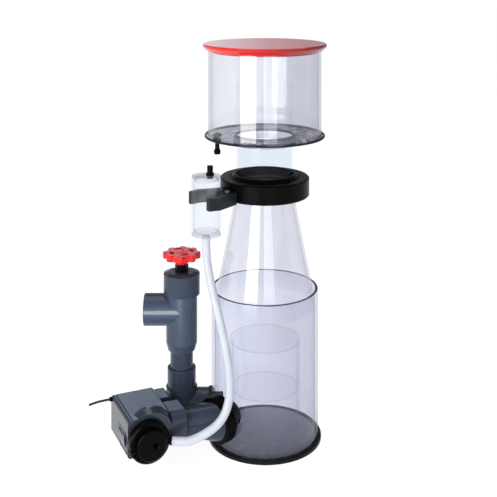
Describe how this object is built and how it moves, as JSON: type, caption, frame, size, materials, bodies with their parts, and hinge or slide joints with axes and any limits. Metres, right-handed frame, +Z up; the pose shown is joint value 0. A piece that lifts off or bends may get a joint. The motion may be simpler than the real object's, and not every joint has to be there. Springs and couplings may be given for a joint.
{
  "type": "protein skimmer",
  "caption": "Upright in-sump protein skimmer: clear tube and cone body, collection cup with red lid, needle-wheel pump, air silencer and grey riser with a gate valve.",
  "frame": {"origin": "centre of the base plate's underside, on the axis of the body tube", "axes": "+Z up along the body tube's axis; -X towards the side that carries the pump and the outlet riser; -Y towards the front, where the pump's intake faces"},
  "size_m": [0.3268, 0.2233, 0.554],
  "materials": {
    "clear_acrylic": "polished clear cast acrylic with a faint lilac-grey tint",
    "smoked_acrylic": "polished smoked acrylic",
    "dark_base": "dark grey sheet, polished edge",
    "black_plastic": "moulded black, satin to gloss",
    "grey_pvc": "blue-grey pressure pipe plastic, satin gloss",
    "pump_grey": "blue-grey moulded pump casing, satin gloss",
    "red_plastic": "glossy red",
    "black_rubber": "matt black rubber",
    "hose_silicone": "milky translucent tubing",
    "ceramic_shaft": "polished ceramic rod",
    "ferrite": "sintered magnet, sealed",
    "white_plastic": "natural moulded plastic",
    "steel_screw": "stainless steel"
  },
  "bodies": {
    "skimmer": {"base_plate": "dark_base", "body_tube": "clear_acrylic", "reaction_cone": "clear_acrylic", "diffuser_drum": "clear_acrylic", "lower_bubble_plate": "clear_acrylic", "upper_bubble_plate": "clear_acrylic", "drum_legs": "clear_acrylic", "neck_collar": "black_plastic", "silencer_bracket": "black_plastic", "bracket_screws": "steel_screw", "neck_oring": "black_rubber", "outlet_spigot": "grey_pvc", "outlet_gasket": "black_rubber", "bulkhead_back_nuts": "grey_pvc", "outlet_elbow": "grey_pvc", "riser_pipe": "grey_pvc", "swivel_oring": "black_rubber", "inlet_gasket": "black_rubber", "inlet_bulkhead": "black_plastic", "union_oring": "black_rubber", "discharge_adapter": "grey_pvc", "pump_volute": "pump_grey", "motor_block": "pump_grey", "shaft_bushes": "white_plastic", "venturi_intake": "black_plastic", "air_barb": "black_plastic", "pump_feet": "black_rubber", "cable_gland": "black_plastic", "power_cable": "black_rubber", "silencer_tube": "clear_acrylic", "silencer_top": "clear_acrylic", "silencer_nipple": "black_plastic", "silencer_bottom": "clear_acrylic", "air_hose": "hose_silicone"},
    "cup": {"cup_neck": "clear_acrylic", "neck_flange": "black_plastic", "cup_floor": "smoked_acrylic", "cup_wall": "clear_acrylic", "drain_barb": "black_plastic", "drain_nut": "black_plastic"},
    "lid": {"lid": "red_plastic"},
    "lock_ring": {"lock_ring": "black_plastic"},
    "valve_tee": {"valve_tee": "grey_pvc", "valve_bonnet": "grey_pvc", "valve_gland": "black_plastic"},
    "valve_wheel": {"handwheel": "red_plastic", "wheel_screw": "steel_screw", "valve_stem": "grey_pvc", "stem_oring": "black_rubber"},
    "valve_gate": {"valve_gate": "grey_pvc"},
    "union_nut": {"union_nut": "black_plastic"},
    "rotor": {"rotor_magnet": "ferrite", "rotor_shaft": "ceramic_shaft", "needle_impeller": "white_plastic"}
  },
  "joints": [
    {"name": "cup_lift", "type": "slide", "parent": "skimmer", "child": "cup", "axis": [0, 0, 1], "range_m": [0, 0.16]},
    {"name": "lid_lift", "type": "slide", "parent": "cup", "child": "lid", "axis": [0, 0, 1], "range_m": [0, 0.06]},
    {"name": "lock_turn", "type": "hinge", "parent": "skimmer", "child": "lock_ring", "pos_m": [0, 0, 0.366], "axis": [0, 0, 1], "range_deg": [0, 60]},
    {"name": "tee_swivel", "type": "hinge", "parent": "skimmer", "child": "valve_tee", "pos_m": [-0.1174, 0, 0.15], "axis": [0, 0, 1], "range_deg": [-90, 90]},
    {"name": "valve_turn", "type": "hinge", "parent": "valve_tee", "child": "valve_wheel", "pos_m": [-0.1174, 0, 0.25], "axis": [0, 0, -1], "range_deg": [0, 2520]},
    {"name": "gate_slide", "type": "slide", "parent": "valve_tee", "child": "valve_gate", "axis": [0, 0, -1], "range_m": [0, 0.0281]},
    {"name": "union_turn", "type": "hinge", "parent": "skimmer", "child": "union_nut", "pos_m": [-0.0641, -0.05771, 0.05], "axis": [-0.7431, -0.6691, 0], "range_deg": [0, 720]},
    {"name": "impeller_spin", "type": "hinge", "parent": "skimmer", "child": "rotor", "pos_m": [-0.152, -0.113, 0.05], "axis": [0.4067, -0.9135, 0], "continuous": true}
  ],
  "couplings": [
    {"joint": "gate_slide", "follows": "valve_turn", "m_per_rad": 0.00063662}
  ]
}
